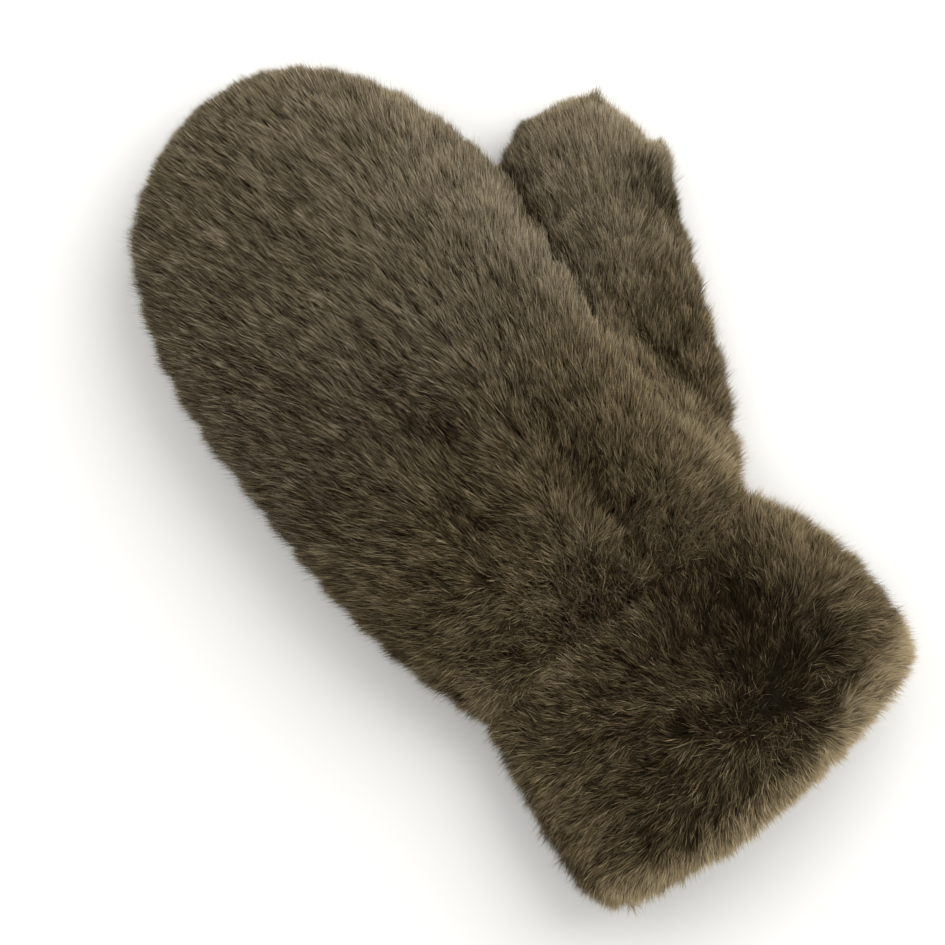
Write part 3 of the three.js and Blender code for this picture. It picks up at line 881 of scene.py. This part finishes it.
def base_material(colours):
    """Cropped underfur on the backing: a dense dark felt that shows only between the fibres,
    partly the underfur's own colour and partly painted shade deep in the pile.
    """
    material, tree = new_material("dense dark underfur with painted shade")
    where = add_node(tree, "ShaderNodeTexCoord")
    specks = add_node(
        tree,
        "ShaderNodeTexNoise",
        inputs={"Vector": where.outputs["Object"], "Scale": 1 / FELT_GRAIN, "Detail": 4.0},
    )
    shade = add_node(tree, "ShaderNodeValToRGB", inputs={"Fac": specks.outputs["Fac"]})
    dark = np.array(colours.dark)
    # near black, partly the underfur's own colour and partly painted shade deep in the pile
    set_stops(shade, [(0.3, tuple(dark * 0.35)), (0.7, tuple(dark * 0.9))])
    relief = add_node(
        tree,
        "ShaderNodeBump",
        inputs={"Height": specks.outputs["Fac"], "Distance": FELT_RELIEF, "Strength": 0.6},
    )
    shader = add_node(
        tree,
        "ShaderNodeBsdfPrincipled",
        inputs={
            "Base Color": shade.outputs["Color"],
            "Roughness": 0.95,
            "Normal": relief.outputs["Normal"],
        },
    )
    finish_material(tree, shader)
    return material


def backing_material(colours):
    """Warp-knitted polyester backing: fine ribs along the hand, and a faint mottle."""
    material, tree = new_material("warp-knitted backing")
    where = add_node(tree, "ShaderNodeTexCoord")
    ribs = add_node(
        tree,
        "ShaderNodeTexWave",
        {"wave_type": "BANDS", "bands_direction": "X"},
        {
            "Vector": where.outputs["Object"],
            "Scale": 2 * math.pi / WAVE_TURNS / RIB_PITCH,
            "Distortion": 0.6,
            "Detail": 1.0,
        },
    )
    mottle = add_node(
        tree,
        "ShaderNodeTexNoise",
        inputs={"Vector": where.outputs["Object"], "Scale": 1 / BACKING_MOTTLE, "Detail": 3.0},
    )
    shade = add_node(tree, "ShaderNodeValToRGB", inputs={"Fac": mottle.outputs["Fac"]})
    backing = np.array(colours.backing)
    set_stops(shade, [(0.3, tuple(backing * 0.75)), (0.7, tuple(backing * 1.1))])
    relief = add_node(
        tree,
        "ShaderNodeBump",
        inputs={"Height": ribs.outputs["Fac"], "Distance": RIB_RELIEF, "Strength": 0.7},
    )
    shader = add_node(
        tree,
        "ShaderNodeBsdfPrincipled",
        inputs={
            "Base Color": shade.outputs["Color"],
            "Roughness": 0.9,
            "Normal": relief.outputs["Normal"],
        },
    )
    finish_material(tree, shader)
    return material


# The cloth under the pile

WALL_VOXEL = 3 * MM
CUFF_VOXEL = 2 * MM  # finer, because its wall is thin under the dents near the wrist
WALL_SMOOTHING = 4
UNDER_ROOTS = 0.4 * MM  # how far the cloth stays under the fibres' roots
WALL_LEAST = 2 * MM  # the least thickness of cloth that stays under the pile
EVEN_PASSES = 5  # how often the moves of the cloth's points are evened out
WALL_RAY_START = 0.1 * MM  # how far under the cloth's face the ray through it starts


def mark_inside(wall):
    """Gives the faces round the hollow the second material."""
    form = skin()
    outer, inner = form.tree(form.outside), form.tree(~form.outside)
    for face in wall.data.polygons:
        inward = inner.find_nearest(face.center)[3] < outer.find_nearest(face.center)[3]
        face.material_index = 1 if inward else 0


def spread(moves, edges, passes):
    """Evens out the moves of points among those that edges join."""
    count = np.bincount(edges.ravel(), minlength=len(moves))[:, None]
    for _ in range(passes):
        total = np.zeros_like(moves)
        np.add.at(total, edges[:, 0], moves[edges[:, 1]])
        np.add.at(total, edges[:, 1], moves[edges[:, 0]])
        moves = (moves + total / np.maximum(count, 1)) / 2
    return moves


def sink_under_pile(wall, sizes):
    """Moves the wall's outer side in, to just under the fibres' roots. Its inner side stays."""
    form = skin()
    outside = np.flatnonzero(form.outside)
    outer, inner = form.tree(form.outside), form.tree(~form.outside)
    points, own = vertex_array(wall.data), tree_of(wall.data)
    moves = np.zeros_like(points)
    for i, point in enumerate(map(Vector, points)):
        nearest, normal, face, gap = outer.find_nearest(point)
        if inner.find_nearest(point)[3] < gap:
            continue
        thickness = form.thickness[outside[face : face + 1]]
        place, way = np.array([nearest]), np.array([normal])
        depth = pile_depth(sizes, place, way, thickness)[0][0] + UNDER_ROOTS
        far_side = own.ray_cast(point - normal * WALL_RAY_START, -normal)
        room = far_side[3] - WALL_LEAST if far_side[0] else 0.0
        moves[i] = -way[0] * np.clip(depth + (point - nearest).dot(normal), 0, max(room, 0))
    edges = np.array([edge.vertices for edge in wall.data.edges])
    points += spread(moves, edges, EVEN_PASSES)
    points[:, 2] = np.maximum(points[:, 2], FLOOR_CLEAR)
    wall.data.vertices.foreach_set("co", points.astype(np.float32).ravel())
    wall.data.update()


class MITTEN_OT_cloth(bpy.types.Operator):
    """Make the walls of cloth that the fur stands on, one for each sewn piece."""

    bl_idname = "mitten.cloth"
    bl_label = "Cloth"

    def execute(self, context):
        sizes = context.scene.mitten_pile
        colours = context.scene.mitten_colours
        finishes = (base_material(colours), backing_material(colours))
        for piece in PIECES:
            wall = merged_copy([piece], piece + "_cloth")
            voxel = CUFF_VOXEL if piece == "cuff" else WALL_VOXEL
            remesh_and_smooth(wall, voxel, WALL_SMOOTHING)
            wall.data.materials.clear()
            for finish in finishes:
                wall.data.materials.append(finish)
            mark_inside(wall)
            sink_under_pile(wall, sizes)
            bpy.ops.object.shade_smooth()
            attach(wall, BODY)
            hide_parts(piece)
        return {"FINISHED"}


# Kinds of fur. length and width are shares of a full fibre's.
UNDERFUR = {"length": 0.88, "width": 1.2, "tone_shift": -0.08}
GUARD_FUR = {"length": 1.0, "width": 0.8, "tone_shift": 0.04}
CUFF_GUARD_FUR = {"length": 1.0, "width": 0.8, "tone_shift": 0.02}
PALM_FUR = {"length": 0.92, "width": 1.1, "tone_shift": 0.0}
THUMB_FUR = {"length": 0.92, "width": 1.0, "tone_shift": 0.0}

HAND_LAYERS = [
    {"name": "back_underfur", "piece": "hand_back", "seed": 10, "count": 96000, **UNDERFUR},
    {"name": "back_guard_fur", "piece": "hand_back", "seed": 11, "count": 96000, **GUARD_FUR},
    {"name": "palm_fur", "piece": "hand_palm", "seed": 12, "count": 60000, **PALM_FUR},
]
THUMB_LAYERS = [
    {"name": "thumb_fur", "piece": "thumb", "seed": 21, "count": 81000, **THUMB_FUR},
]
CUFF_LAYERS = [
    {"name": "cuff_underfur", "piece": "cuff", "seed": 30, "count": 61500, **UNDERFUR},
    {"name": "cuff_guard_fur", "piece": "cuff", "seed": 31, "count": 61500, **CUFF_GUARD_FUR},
]
HAND_FINISH = ("modacrylic pile, hand", 0.55)  # a finish's name and its roughness
CUFF_FINISH = ("modacrylic pile, cuff", 0.6)


def place_pile(pile, material):
    pile.data.materials.append(material)
    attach(pile, BODY)


def grow_layers(context, layers, finish):
    """Grows layers of fur in a finish, which is made when it is first asked for."""
    if finish not in made_once:
        made_once[finish] = pile_material(context.scene.mitten_colours, *finish)
    for layer in layers:
        place_pile(grow_pile(context.scene.mitten_pile, **layer), made_once[finish])


class MITTEN_OT_hand_fur(bpy.types.Operator):
    """Grow the pile on the hand's back and palm."""

    bl_idname = "mitten.hand_fur"
    bl_label = "Hand fur"

    def execute(self, context):
        grow_layers(context, HAND_LAYERS, HAND_FINISH)
        return {"FINISHED"}


class MITTEN_OT_thumb_fur(bpy.types.Operator):
    """Grow the pile on the thumb."""

    bl_idname = "mitten.thumb_fur"
    bl_label = "Thumb fur"

    def execute(self, context):
        grow_layers(context, THUMB_LAYERS, HAND_FINISH)
        return {"FINISHED"}


class MITTEN_OT_cuff_fur(bpy.types.Operator):
    """Grow the rougher, darker pile on the cuff."""

    bl_idname = "mitten.cuff_fur"
    bl_label = "Cuff fur"

    def execute(self, context):
        grow_layers(context, CUFF_LAYERS, CUFF_FINISH)
        return {"FINISHED"}


# The stage

FLOOR_SIZE = 6.0
FAR_CLIP = 20.0
CAMERA_PLACE = (-28.6 * MM, -0.6 * MM)  # where over the floor the camera hangs
# side is the way from the mitten's middle to the lamp.
LAMPS = [
    {"name": "key", "side": (0.95, 0.12, 0.85), "distance": 1.3, "size": 1.6, "power": 17.0},
    {"name": "fill", "side": (-0.2, 0.9, 1.0), "distance": 1.5, "size": 1.2, "power": 4.0},
]


def add_lamp(middle, name, side, distance, size, power):
    """A round soft lamp that looks at the mitten's middle."""
    side = Vector(side).normalized()
    turn = side.to_track_quat("Z", "Y").to_euler()
    bpy.ops.object.light_add(type="AREA", location=middle + side * distance, rotation=turn)
    lamp = bpy.context.object
    lamp.name = name
    lamp.data.shape = "DISK"
    lamp.data.size = size
    lamp.data.energy = power


class MITTEN_OT_stage(bpy.types.Operator):
    """Set the floor, the light and the camera."""

    bl_idname = "mitten.stage"
    bl_label = "Stage"

    def execute(self, context):
        stage = context.scene.mitten_stage
        middle = (CAD_BOX[0] + CAD_BOX[1]) / 2
        deselect()
        bpy.ops.mesh.primitive_plane_add(size=FLOOR_SIZE, location=(0, 0, 0))
        floor = context.object
        floor.name = "floor"
        paper, tree = new_material("matt paper")
        colour = (*stage.floor, 1)
        shader = add_node(
            tree, "ShaderNodeBsdfPrincipled", inputs={"Base Color": colour, "Roughness": 0.9}
        )
        finish_material(tree, shader)
        floor.data.materials.append(paper)

        for lamp in LAMPS:
            add_lamp(middle, **lamp)
        world = bpy.data.worlds.new("soft studio")
        world.use_nodes = True
        sky = world.node_tree.nodes["Background"]
        sky.inputs["Color"].default_value = (1, 1, 1, 1)
        sky.inputs["Strength"].default_value = stage.sky
        context.scene.world = world
        context.scene.view_settings.view_transform = "Standard"

        bpy.ops.object.camera_add(
            location=(*CAMERA_PLACE, stage.camera_height),
            rotation=(0, 0, stage.view_turn),
        )
        camera = context.object
        distance = stage.camera_height - middle.z
        camera.data.lens = camera.data.sensor_width * distance / stage.view_width
        camera.data.clip_end = FAR_CLIP
        context.scene.camera = camera
        return {"FINISHED"}


class MITTEN_PT_panel(bpy.types.Panel):
    """Lists the sizes, the colours and the steps."""

    bl_idname = "MITTEN_PT_panel"
    bl_label = "Fur mitten"
    bl_space_type = "VIEW_3D"
    bl_region_type = "UI"
    bl_category = "Mitten"

    def draw(self, context):
        for group in (
            context.scene.mitten_pile,
            context.scene.mitten_colours,
            context.scene.mitten_stage,
        ):
            box = self.layout.box()
            for name in group.__annotations__:
                box.prop(group, name)
        for operator in OPERATORS:
            self.layout.operator(operator.bl_idname)


OPERATORS = (
    MITTEN_OT_cloth,
    MITTEN_OT_hand_fur,
    MITTEN_OT_thumb_fur,
    MITTEN_OT_cuff_fur,
    MITTEN_OT_stage,
)
CLASSES = (PileSizes, FurColours, StageSettings, *OPERATORS, MITTEN_PT_panel)


def register():
    for cls in CLASSES:
        bpy.utils.register_class(cls)
    bpy.types.Scene.mitten_pile = bpy.props.PointerProperty(type=PileSizes)
    bpy.types.Scene.mitten_colours = bpy.props.PointerProperty(type=FurColours)
    bpy.types.Scene.mitten_stage = bpy.props.PointerProperty(type=StageSettings)


def unregister():
    del bpy.types.Scene.mitten_stage
    del bpy.types.Scene.mitten_colours
    del bpy.types.Scene.mitten_pile
    for cls in reversed(CLASSES):
        bpy.utils.unregister_class(cls)


def main():
    register()
    bpy.ops.mitten.cloth()
    bpy.ops.mitten.hand_fur()
    bpy.ops.mitten.thumb_fur()
    bpy.ops.mitten.cuff_fur()
    bpy.ops.mitten.stage()


if __name__ == "__main__":
    main()
